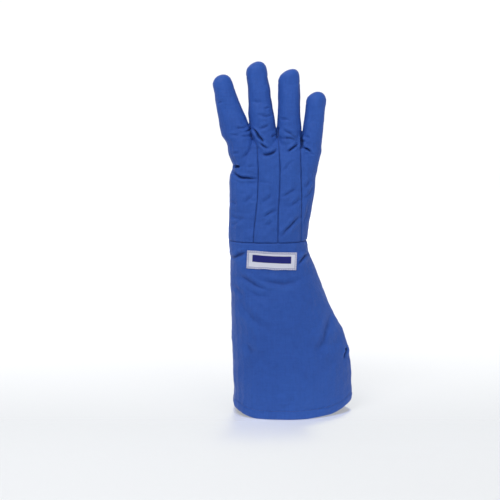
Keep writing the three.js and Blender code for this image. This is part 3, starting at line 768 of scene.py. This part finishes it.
class SkinSculptor:
    """Presses seams, creases and the hem into the skin, and keeps where their shade and highlight are
    painted.
    """

    def __init__(self, skin, sizes):
        self.mesh = skin.data
        self.sizes = sizes
        self.points = places(self.mesh)
        self.normals = directions(self.mesh)
        self.lift = np.zeros(len(self.points))
        self.fold = np.zeros(len(self.points))
        self.ridge = np.zeros(len(self.points))
        self.seam = np.zeros(len(self.points))

    def press(self, chosen, away, depth, breadth, shoulder):
        """A valley with raised shoulders; away is each chosen point's distance from its line. The valley also
        gets painted shade and the shoulders painted highlight.
        """
        valley = np.exp(-(away / breadth) ** 2)
        raised = np.exp(-((away - 2.3 * breadth) / (1.3 * breadth)) ** 2)
        self.lift[chosen] += depth * (shoulder * raised - valley)
        # Painted shade, strongest at the valley's bottom.
        self.fold[chosen] += valley * depth / 0.0025
        # Painted highlight on the raised shoulders.
        self.ridge[chosen] += raised * depth / 0.0030

    def creases(self, rows, side):
        wander = np.stack([rumples(self.points, (0.009,) * 3, seed) for seed in (5, 6)], axis=1)
        flat = self.points[:, [0, 2]] + 0.0011 * wander
        facing = soft_step(-0.25, 0.35, side * self.normals[:, 1])
        for depth, breadth, *way in rows:
            way = np.array(way) / 1000.0
            for _ in range(2):
                sooner, later = 0.75 * way[:-1] + 0.25 * way[1:], 0.25 * way[:-1] + 0.75 * way[1:]
                inner = np.concatenate([sooner, later], axis=1)
                way = np.concatenate([way[:1], inner.reshape(-1, 2), way[-1:]])
            breadth /= 1000.0
            reach = 5.0 * breadth
            chosen = np.nonzero(np.all((flat > way.min(0) - reach) & (flat < way.max(0) + reach), axis=1)
                                & (facing > 0.0))[0]
            if not len(chosen):
                continue
            away, along = self.from_way(flat[chosen], way)
            fade = np.clip(1.0 - (2.0 * along - 1.0) ** 4, 0.0, 1.0) * (0.55 + 0.45 * np.sin(math.pi * along))
            depth = fade * facing[chosen] * depth / 1000.0 * self.sizes.crease
            self.press(chosen, away, depth, breadth, 0.38)

    @staticmethod
    def from_way(flat, way):
        runs = np.diff(way, axis=0)
        lengths = np.linalg.norm(runs, axis=1)
        starts = np.concatenate([[0.0], np.cumsum(lengths)])
        best = np.full(len(flat), 9.0)
        along = np.zeros(len(flat))
        for start, run, length, before in zip(way[:-1], runs, lengths, starts):
            share = np.clip((flat - start) @ run / max(length * length, 1e-12), 0.0, 1.0)
            away = np.linalg.norm(flat - start - share[:, None] * run, axis=1)
            closer = away < best
            best[closer] = away[closer]
            along[closer] = ((before + share * length) / starts[-1])[closer]
        return best, along

    def seams(self):
        count = len(self.mesh.vertices)
        corners, each, _ = corners_of(self.mesh)
        low = np.full(count, 99, dtype=np.int32)
        high = np.full(count, -1, dtype=np.int32)
        np.minimum.at(low, corners, each)
        np.maximum.at(high, corners, each)
        on_seam = np.nonzero(low != high)[0]
        tree = tree_of(self.points[on_seam])
        away = np.array([tree.find(p)[2] for p in self.points])
        everyone = np.arange(count)
        on_fingers = soft_step(FINGERS_FROM, FINGERS_BY, self.points[:, 2])
        depth = self.sizes.seam_depth * (1.0 - 0.72 * on_fingers)
        self.press(everyone, away, depth, self.sizes.seam_breadth, 0.22)
        # Painted shade along the seams: a thin line for the cloth's colour.
        self.seam = np.exp(-(away / SEAM_SHADE_WIDTH) ** 2)
        upright = rumples(self.points, (0.012, 0.012, 0.0042), 8)
        level = rumples(self.points, (0.0045, 0.0045, 0.012), 9)
        by_wrist = np.exp(-((self.points[:, 2] - WRIST_UP) / 0.007) ** 2)
        pucker = upright * (1.0 - by_wrist) + level * by_wrist
        gathered = SEAM_GATHER * (1.0 - 0.6 * on_fingers)
        self.lift += gathered * pucker * np.exp(-away / 0.0045) * soft_step(0.0, 0.0012, away)

    def hem(self):
        up = self.points[:, 2] - hem_line(self.points[:, 0])
        stitched = np.exp(-((up - self.sizes.hem_band) / 0.0011) ** 2)
        self.lift += 0.0005 * (1.0 - soft_step(self.sizes.hem_band - 0.002, self.sizes.hem_band, up))
        self.lift -= 0.0004 * stitched + 0.0012 * np.exp(-up / 0.0012)
        gathers = rumples(self.points, (0.0055, 0.0055, 0.02), 11)
        self.lift += 0.00035 * gathers * np.exp(-((up - self.sizes.hem_band) / 0.006) ** 2)
        # Painted shade along the hem's row of stitches.
        self.fold += 0.1 * stitched

    def padding(self):
        """Soft unevenness: broad humps, with diagonal drags in the cuff."""
        broad = rumples(self.points, (0.035, 0.035, 0.028), 12)
        turned = self.points.copy()
        turned[:, 0] = 0.8 * self.points[:, 0] + 0.6 * self.points[:, 2]
        turned[:, 2] = 0.8 * self.points[:, 2] - 0.6 * self.points[:, 0]
        drags = rumples(turned, (0.032, 0.03, 0.011), 13)
        above_hem = soft_step(0.0, 0.012, self.points[:, 2] - hem_line(self.points[:, 0]))
        nipped = np.exp(-((self.points[:, 2] - NIP_UP) / 0.019) ** 2) * (self.points[:, 0] < NIP_LEFT_OF)
        self.lift -= 0.0028 * nipped * soft_step(0.3, 0.95, -self.normals[:, 0])
        self.lift += self.sizes.rumple * (broad + 0.55 * drags) * above_hem

    def finish(self):
        put_places(self.mesh, self.points + self.normals * self.lift[:, None])
        # Painted shade, painted highlight and the painted seam line, kept for the cloth's colour.
        store(self.mesh, "fold", np.clip(self.fold, 0.0, 1.0))
        store(self.mesh, "ridge", np.clip(self.ridge, 0.0, 1.0))
        store(self.mesh, "seam", self.seam)


class GLOVE_OT_sew_skin(bpy.types.Operator):
    """Join the shell's panels into one skin, cut it at the seams, pad it and crease it"""
    bl_idname = "glove.sew_skin"
    bl_label = "Sew the skin"

    def execute(self, context):
        sizes = context.scene.glove_cloth
        body = self.join_panels(context)
        apply_modifier(body, "DISPLACE", strength=sizes.closing, mid_level=0.0)
        skin = self.outer_skin(body, "skin", sizes.grain, sizes.evening)
        self.name_panels(skin)
        SkinCutter(skin).cut()
        self.draw_pattern(skin)
        padding = self.outer_skin(body, "padding", sizes.padding_grain, 2)
        self.pad(skin, padding, sizes)
        bpy.data.objects.remove(body)
        sculptor = SkinSculptor(skin, sizes)
        sculptor.padding()
        sculptor.creases(BACK_CREASES, -1.0)
        sculptor.creases(PALM_CREASES, 1.0)
        sculptor.seams()
        sculptor.hem()
        sculptor.finish()
        self.part_panels(skin)
        return {"FINISHED"}

    @staticmethod
    def join_panels(context):
        copies = []
        for name in PANELS:
            copy = frame["nodes"][name].copy()
            copy.data = frame["nodes"][name].data.copy()
            copy.data.materials.clear()
            context.scene.collection.objects.link(copy)
            copies.append(copy)
        pick(*copies)
        bpy.ops.object.join()
        body = context.view_layer.objects.active
        body.name = "joined_panels"
        with edit_mode(body):
            bpy.ops.mesh.remove_doubles(threshold=1e-5)
        return body

    def outer_skin(self, body, name, grain, evening):
        skin = body.copy()
        skin.data = body.data.copy()
        skin.name = name
        bpy.context.scene.collection.objects.link(skin)
        open_gaps(skin)
        apply_modifier(skin, "REMESH", mode="VOXEL", voxel_size=grain)
        self.open_hem(skin)
        apply_modifier(skin, "SMOOTH", factor=0.5, iterations=evening)
        close_gaps(skin)
        self.level_hem(skin)
        return skin

    @staticmethod
    def open_hem(skin):
        """Takes the hem's under side off and keeps the largest island left, the outer skin."""
        with open_mesh(skin.data) as work:
            under = [f for f in work.faces if f.normal.z < -0.7 and f.calc_center_median().z < HEM_UNDER]
            bmesh.ops.delete(work, geom=under, context="FACES")
            islands = []
            seen = set()
            for seed in work.verts:
                if seed in seen:
                    continue
                seen.add(seed)
                island, waiting = [], [seed]
                while waiting:
                    vert = waiting.pop()
                    island.append(vert)
                    for edge in vert.link_edges:
                        other = edge.other_vert(vert)
                        if other not in seen:
                            seen.add(other)
                            waiting.append(other)
                islands.append(island)
            islands.sort(key=len)
            bmesh.ops.delete(work, geom=[v for island in islands[:-1] for v in island], context="VERTS")

    @staticmethod
    def level_hem(skin):
        """Slants the hem's right side, then sets the open edge on its line."""
        points = places(skin.data)
        points[:, 2] += hem_slant(points[:, 0]) * (1.0 - soft_step(0.0, 0.05, points[:, 2]))
        put_places(skin.data, points)
        with open_mesh(skin.data) as work:
            ears = [f for f in work.faces if sum(e.is_boundary for e in f.edges) > 2]
            bmesh.ops.delete(work, geom=ears, context="FACES")
            rim = {v: [e.other_vert(v) for e in v.link_edges if e.is_boundary]
                   for v in work.verts if v.is_boundary}
            for _ in range(20):
                middles = {v: middle_of(beside) for v, beside in rim.items() if beside}
                for vert, middle in middles.items():
                    vert.co.xy = vert.co.xy.lerp(middle.xy, 0.5)
            for vert in rim:
                vert.co.z = float(hem_line(vert.co.x)) + RIM_LIFT
            for vert in work.verts:
                vert.co.z = max(vert.co.z, float(hem_line(vert.co.x)) + RIM_LIFT)

    @staticmethod
    def name_panels(skin):
        skin.data.materials.clear()
        for name in PANELS:
            skin.data.materials.append(bpy.data.materials.new("panel_" + name))

    @staticmethod
    def seam_edges(work):
        return [e for e in work.edges if len(e.link_faces) == 2
                and e.link_faces[0].material_index != e.link_faces[1].material_index]

    def draw_pattern(self, skin):
        """Lays every panel flat as its cutting pattern, in metres, with the grain along the glove."""
        with open_mesh(skin.data) as work:
            for edge in self.seam_edges(work):
                edge.seam = True
        skin.data.uv_layers.new(name="cut")
        with edit_mode(skin):
            bpy.ops.uv.unwrap(method="CONFORMAL", margin=0.001)
        mesh = skin.data
        flat = read(mesh.uv_layers["cut"].data, "uv", float, 2).reshape(-1, 2)
        corners, each, sides = corners_of(mesh)
        points = places(mesh)[corners]
        following = np.arange(len(corners)) + 1
        ends = np.cumsum(sides) - 1
        following[ends] = ends - sides + 1
        for panel in range(len(PANELS)):
            mine = np.nonzero(each == panel)[0]
            run = np.linalg.norm(points[following[mine]] - points[mine], axis=1)
            drawn = np.linalg.norm(flat[following[mine]] - flat[mine], axis=1)
            scale = run.sum() / max(drawn.sum(), 1e-9)
            fit = np.linalg.lstsq(np.c_[flat[mine], np.ones(len(mine))], points[mine, 2], rcond=None)[0][:2]
            fit /= max(np.linalg.norm(fit), 1e-9)
            turned = np.c_[flat[mine] @ np.array([fit[1], -fit[0]]), flat[mine] @ fit] * scale
            flat[mine] = turned - turned.mean(axis=0)
        mesh.uv_layers["cut"].data.foreach_set("uv", flat.ravel())

    def seam_tree(self, skin):
        work = bmesh.new()
        work.from_mesh(skin.data)
        held = {v for e in self.seam_edges(work) for v in e.verts}
        held |= {v for v in work.verts if v.is_boundary}
        tree = tree_of([vert.co for vert in held])
        work.free()
        return tree

    def pad(self, skin, padding, sizes):
        """Swells a coarse copy of the skin between its seams with cloth, and carries the swelling over."""
        tree = self.seam_tree(skin)
        held = [v.index for v in padding.data.vertices if tree.find(v.co)[2] < 0.6 * sizes.padding_grain]
        padding.vertex_groups.new(name="seams").add(held, 1.0, "REPLACE")
        start = places(padding.data)
        modifier = padding.modifiers.new("padding", "CLOTH")
        cloth = modifier.settings
        for name, value in PADDED_CLOTH.items():
            setattr(cloth, name, value)
        cloth.uniform_pressure_force = sizes.filling
        cloth.shrink_min = -sizes.slack
        cloth.vertex_group_mass = "seams"
        cloth.effector_weights.gravity = 0.0
        modifier.collision_settings.use_collision = False
        for step in range(1, PADDING_STEPS + 1):
            bpy.context.scene.frame_set(step)
        pick(padding)
        bpy.ops.object.modifier_apply(modifier=modifier.name)
        bpy.context.scene.frame_set(1)
        moved = places(padding.data) - start
        length = np.linalg.norm(moved, axis=1, keepdims=True)
        most = sizes.swell * (1.0 - 0.55 * (1.0 - soft_step(WRIST_UP - 0.02, WRIST_UP, start[:, 2:3])))
        moved *= most * np.tanh(length / most) / np.maximum(length, 1e-9)
        ends = np.array([tuple(e.vertices) for e in padding.data.edges])
        shared = np.bincount(ends.ravel(), minlength=len(start))[:, None]
        for _ in range(3):
            beside = np.zeros_like(moved)
            np.add.at(beside, ends[:, 0], moved[ends[:, 1]])
            np.add.at(beside, ends[:, 1], moved[ends[:, 0]])
            moved = 0.5 * moved + 0.5 * beside / shared
        near = tree_of(start)
        points = places(skin.data)
        found = [near.find_n(point, 14) for point in points]
        mates = np.array([[hit[1] for hit in hits] for hits in found])
        away = np.array([[hit[2] for hit in hits] for hits in found])
        weights = np.exp(-(away / (0.85 * sizes.padding_grain)) ** 2)
        weights /= weights.sum(axis=1, keepdims=True)
        put_places(skin.data, points + np.einsum("ij,ijk->ik", weights, moved[mates]))
        bpy.data.objects.remove(padding)

    @staticmethod
    def part_panels(skin):
        with edit_mode(skin):
            bpy.ops.mesh.separate(type="MATERIAL")
        made = {}
        for item in bpy.context.selected_objects:
            panel = item.data.materials[0].name.removeprefix("panel_")
            item.name = "sewn_" + panel
            item.data.name = item.name
            made[panel] = item
        if set(made) != set(PANELS):
            raise RuntimeError("panels missing from the skin: " + ", ".join(sorted(set(PANELS) - set(made))))


def line_panels(context, names):
    """Gives panels their padded wall and cloth, and lets them stand for their nodes."""
    cloths = {BLUE: blue_cloth, BLACK: black_cloth}
    for name in names:
        panel = bpy.data.objects["sewn_" + name]
        panel.vertex_groups.clear()
        apply_modifier(panel, "SOLIDIFY", thickness=context.scene.glove_cloth.wall, offset=-1.0)
        slot = PANELS[name]
        cloth = cloths[slot]
        material = bpy.data.materials.get(cloth.__name__) or cloth(context.scene.glove_colours)
        dress(panel, material)
        pick(panel)
        bpy.ops.object.shade_smooth_by_angle(angle=math.radians(60.0))
        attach(panel, BODY)
        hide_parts(name)


class GLOVE_OT_cuff(bpy.types.Operator):
    """Finish the two panels of the flared cuff"""
    bl_idname = "glove.cuff"
    bl_label = "Cuff"

    def execute(self, context):
        line_panels(context, ["cuff_back", "cuff_palm"])
        return {"FINISHED"}


class GLOVE_OT_back(bpy.types.Operator):
    """Finish the four panels on the back of the hand"""
    bl_idname = "glove.back"
    bl_label = "Back of the hand"

    def execute(self, context):
        line_panels(context, ["back_index", "back_middle", "back_ring", "back_little"])
        return {"FINISHED"}


class GLOVE_OT_gussets(bpy.types.Operator):
    """Finish the strips between the fingers"""
    bl_idname = "glove.gussets"
    bl_label = "Strips between the fingers"

    def execute(self, context):
        line_panels(context, ["gusset_index_middle", "gusset_middle_ring", "gusset_ring_little"])
        return {"FINISHED"}


class GLOVE_OT_palm(bpy.types.Operator):
    """Finish the palm with the fronts of the fingers"""
    bl_idname = "glove.palm"
    bl_label = "Palm"

    def execute(self, context):
        line_panels(context, ["palm"])
        return {"FINISHED"}


class GLOVE_OT_thumb(bpy.types.Operator):
    """Finish the thumb's two panels"""
    bl_idname = "glove.thumb"
    bl_label = "Thumb"

    def execute(self, context):
        line_panels(context, ["thumb_front", "thumb_back"])
        return {"FINISHED"}


class GLOVE_OT_label(bpy.types.Operator):
    """Lay the woven label on the cuff"""
    bl_idname = "glove.label"
    bl_label = "Label"

    def execute(self, context):
        sizes = context.scene.glove_label
        label = added(bpy.ops.mesh.primitive_grid_add, "woven_label", x_subdivisions=112, y_subdivisions=40,
                      size=1.0)
        label.scale = (sizes.width, sizes.height, 1.0)
        bpy.ops.object.transform_apply(location=False, rotation=False, scale=True)
        flat = places(label.data)
        layer = label.data.uv_layers.new(name="cut")
        for loop in label.data.loops:
            layer.data[loop.index].uv = flat[loop.vertex_index][:2]
        label.rotation_euler = (math.radians(90.0), sizes.tilt, 0.0)
        label.location = (sizes.across, -0.10, sizes.drop)
        bpy.ops.object.transform_apply(location=True, rotation=True, scale=True)
        apply_modifier(label, "SHRINKWRAP", target=bpy.data.objects["sewn_cuff_back"], wrap_method="PROJECT",
                       use_project_y=True, use_positive_direction=True, use_negative_direction=False)
        apply_modifier(label, "SMOOTH", factor=0.5, iterations=24)
        points = places(label.data)
        edge = np.minimum(sizes.width / 2 - np.abs(flat[:, 0]), sizes.height / 2 - np.abs(flat[:, 1]))
        turned = 1.0 - soft_step(0.0022, 0.0028, edge)
        sewn = np.exp(-((edge - LABEL_INSET) / 0.0006) ** 2)
        loose = rumples(points, (0.006, 0.006, 0.006), 21) * 0.00018 * (1.0 - turned)
        points[:, 2] += 0.0006 * rumples(points, (0.013,) * 3, 22)
        points[:, 1] -= sizes.thickness + 0.00018 * turned - 0.00022 * sewn + loose + 0.0002
        put_places(label.data, points)
        apply_modifier(label, "SOLIDIFY", thickness=sizes.thickness, offset=-1.0)
        dress(label, label_cloth(context.scene.glove_colours, sizes))
        pick(label)
        bpy.ops.object.shade_smooth_by_angle(angle=math.radians(45.0))
        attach(label, BODY)
        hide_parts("label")
        return {"FINISHED"}


class GLOVE_OT_stitches(bpy.types.Operator):
    """Sew the rows of stitches along the label's edge and the hem"""
    bl_idname = "glove.stitches"
    bl_label = "Stitches"

    def execute(self, context):
        label = context.scene.glove_label
        white = thread_cloth("label_thread", (0.34, 0.36, 0.60), (0.15, 0.16, 0.34))
        blue = thread_cloth("hem_thread", (0.017, 0.078, 0.360), (0.010, 0.045, 0.22))
        edge = self.row("label_stitches", self.label_way(label), LABEL_PITCH, label.stitch, label.thread,
                        white, WOVEN)
        self.row("hem_stitches", self.hem_way(context.scene.glove_cloth), HEM_PITCH, HEM_STITCH, HEM_THREAD,
                 blue, BLUE)
        return {"FINISHED"}

    @staticmethod
    def shell(names):
        bpy.context.view_layer.update()
        depsgraph = bpy.context.evaluated_depsgraph_get()
        return [BVHTree.FromObject(bpy.data.objects[name], depsgraph) for name in names]

    def label_way(self, sizes):
        """Points and normals round the label, a little inside its edge."""
        tree = self.shell(["woven_label"])[0]
        half, tall = sizes.width / 2 - LABEL_INSET, sizes.height / 2 - LABEL_INSET
        corners = [(-half, -tall), (half, -tall), (half, tall), (-half, tall), (-half, -tall)]
        way = []
        for (x0, z0), (x1, z1) in zip(corners[:-1], corners[1:]):
            steps = round(math.hypot(x1 - x0, z1 - z0) / 0.0005)
            for step in range(steps):
                x, z = x0 + (x1 - x0) * step / steps, z0 + (z1 - z0) * step / steps
                turned_x = x * math.cos(sizes.tilt) + z * math.sin(sizes.tilt)
                turned_z = z * math.cos(sizes.tilt) - x * math.sin(sizes.tilt)
                start = Vector((sizes.across + turned_x, -0.12, sizes.drop + turned_z))
                hit = tree.ray_cast(start, Vector((0, 1, 0)))
                if hit[0] is None:
                    raise RuntimeError("the label is not where its stitches go")
                way.append((hit[0], hit[1]))
        return way + way[:1]

    def hem_way(self, sizes):
        """Points and normals round the cuff at the top of the hem's band."""
        trees = self.shell(["sewn_cuff_back", "sewn_cuff_palm"])
        way = []
        for step in range(901):
            turn = 2.0 * math.pi * step / 900.0
            aim = Vector((math.cos(turn), math.sin(turn), 0.0))
            hit = None
            height = sizes.hem_band
            for _ in range(3):
                start = Vector((HEM_MIDDLE, SEAM_SIDE, height)) + aim * 0.2
                hits = [tree.ray_cast(start, -aim) for tree in trees]
                hits = [h for h in hits if h[0] is not None]
                if not hits:
                    raise RuntimeError("no cloth at the hem's row of stitches")
                hit = min(hits, key=lambda h: h[3])
                height = float(hem_line(hit[0].x)) + sizes.hem_band
            way.append((hit[0], hit[1]))
        return way

    @staticmethod
    def row(name, way, pitch, length, radius, material, slot):
        stitch = added(bpy.ops.mesh.primitive_uv_sphere_add, "stitch", segments=8, ring_count=7,
                       radius=radius)
        with edit_mode(stitch):
            bpy.ops.transform.rotate(value=math.radians(90.0), orient_axis="Y",
                                     center_override=(0.0, 0.0, 0.0))
        shape = places(stitch.data)
        shape[:, 0] += np.sign(np.round(shape[:, 0], 7)) * (length / 2 - radius)
        put_places(stitch.data, shape)
        points = np.array([tuple(place) for place, _ in way])
        normals = np.array([tuple(normal) for _, normal in way])
        walked = np.concatenate([[0.0], np.cumsum(np.linalg.norm(np.diff(points, axis=0), axis=1))])
        count = max(round(walked[-1] / pitch), 1)

        def at(way_so_far, values):
            return np.array([np.interp(way_so_far, walked, values[:, axis]) for axis in range(3)])

        sewn = []
        for number in range(count):
            middle = (number + 0.5) * walked[-1] / count
            ends = [at(middle + side * length / 2, points) for side in (-1, 1)]
            outward = Vector(at(middle, normals)).normalized()
            along = Vector(ends[1] - ends[0]).normalized()
            across = outward.cross(along).normalized()
            turn = np.array([along, across, along.cross(across)]).T
            copy = stitch.copy()
            copy.data = stitch.data.copy()
            centre = (ends[0] + ends[1]) / 2 + np.array(outward) * radius * 0.35
            put_places(copy.data, shape @ turn.T + centre)
            bpy.context.scene.collection.objects.link(copy)
            sewn.append(copy)
        bpy.data.objects.remove(stitch)
        pick(*sewn)
        bpy.ops.object.join()
        rows = bpy.context.view_layer.objects.active
        rows.name = name
        dress(rows, material)
        bpy.ops.object.shade_smooth()
        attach(rows, BODY)
        return rows


class GLOVE_OT_stage(bpy.types.Operator):
    """Set up floor, backdrop, soft light and camera"""
    bl_idname = "glove.stage"
    bl_label = "Stage"

    def execute(self, context):
        studio = context.scene.glove_studio
        self.backdrop(studio)
        aim = Vector((0.0, 0.0, 0.24))
        self.softbox("key_light", (-0.7, -1.1, 2.2), aim, 0.9, studio.key)
        self.softbox("fill_light", (1.5, -2.0, 0.7), aim, 1.8, studio.fill)
        self.softbox("rear_light", (-0.6, 2.0, 1.7), aim, 1.6, 0.5 * studio.fill)
        world = bpy.data.worlds.new("studio")
        world.use_nodes = True
        world.node_tree.nodes["Background"].inputs["Color"].default_value = (0.95, 0.97, 1.0, 1.0)
        world.node_tree.nodes["Background"].inputs["Strength"].default_value = studio.sky
        context.scene.world = world
        context.scene.view_settings.view_transform = "Standard"
        self.camera(context, studio)
        return {"FINISHED"}

    @staticmethod
    def backdrop(studio):
        floor = added(bpy.ops.mesh.primitive_plane_add, "studio_floor", size=8.0, location=(0.0, -1.0, 0.0))
        bpy.ops.object.mode_set(mode="EDIT")
        work = bmesh.from_edit_mesh(floor.data)
        for part in (*work.verts, *work.edges, *work.faces):
            part.select = False
        for edge in work.edges:
            edge.select = all(v.co.y > 0.0 for v in edge.verts)
        work.select_flush(True)
        bmesh.update_edit_mesh(floor.data)
        bpy.ops.mesh.extrude_region_move(TRANSFORM_OT_translate={"value": (0.0, 0.0, 4.0)})
        work = bmesh.from_edit_mesh(floor.data)
        for edge in work.edges:
            edge.select = all(v.co.y > 0.0 and v.co.z < 1.0 for v in edge.verts)
        work.select_flush_mode()
        bmesh.update_edit_mesh(floor.data)
        bpy.ops.mesh.bevel(offset=1.2, segments=20)
        bpy.ops.mesh.select_all(action="SELECT")
        bpy.ops.object.mode_set(mode="OBJECT")
        bpy.ops.object.shade_smooth()
        bpy.ops.object.transform_apply(location=True, rotation=True, scale=True)
        floor.data.materials.append(floor_cloth(studio))

    @staticmethod
    def softbox(name, place, aim, size, power):
        light = added(bpy.ops.object.light_add, name, type="AREA", location=place)
        light.data.size = size
        light.data.energy = power
        light.rotation_euler = (aim - Vector(place)).to_track_quat("-Z", "Y").to_euler()

    @staticmethod
    def camera(context, studio):
        aim = Vector(studio.aim)
        away = Vector((0.0, -math.cos(studio.elevation), math.sin(studio.elevation)))
        camera = added(bpy.ops.object.camera_add, "camera", location=aim + away * studio.distance)
        camera.rotation_euler = (-away).to_track_quat("-Z", "Y").to_euler()
        camera.data.lens = studio.lens
        camera.data.sensor_width = 36.0
        camera.data.clip_start = 0.05
        camera.data.clip_end = 40.0
        context.scene.camera = camera


class GLOVE_PT_sidebar(bpy.types.Panel):
    """Lists the glove's steps"""
    bl_idname = "GLOVE_PT_sidebar"
    bl_label = "Cryogenic glove"
    bl_space_type = "VIEW_3D"
    bl_region_type = "UI"
    bl_category = "Glove"

    def draw(self, context):
        for step in STEPS:
            self.layout.operator(step.bl_idname)
        for group in GROUPS:
            box = self.layout.box()
            for name in GROUPS[group].__annotations__:
                box.prop(getattr(context.scene, group), name)


GROUPS = {
    "glove_cloth": GloveCloth,
    "glove_label": GloveLabel,
    "glove_colours": GloveColours,
    "glove_studio": GloveStudio,
}
STEPS = (
    GLOVE_OT_sew_skin,
    GLOVE_OT_cuff,
    GLOVE_OT_back,
    GLOVE_OT_gussets,
    GLOVE_OT_palm,
    GLOVE_OT_thumb,
    GLOVE_OT_label,
    GLOVE_OT_stitches,
    GLOVE_OT_stage,
)


def register():
    for entry in (*GROUPS.values(), *STEPS, GLOVE_PT_sidebar):
        bpy.utils.register_class(entry)
    for name, group in GROUPS.items():
        setattr(bpy.types.Scene, name, bpy.props.PointerProperty(type=group))


def unregister():
    for name in GROUPS:
        delattr(bpy.types.Scene, name)
    for entry in reversed((*GROUPS.values(), *STEPS, GLOVE_PT_sidebar)):
        bpy.utils.unregister_class(entry)


def main():
    register()
    for step in STEPS:
        family, name = step.bl_idname.split(".")
        getattr(getattr(bpy.ops, family), name)()


if __name__ == "__main__":
    main()
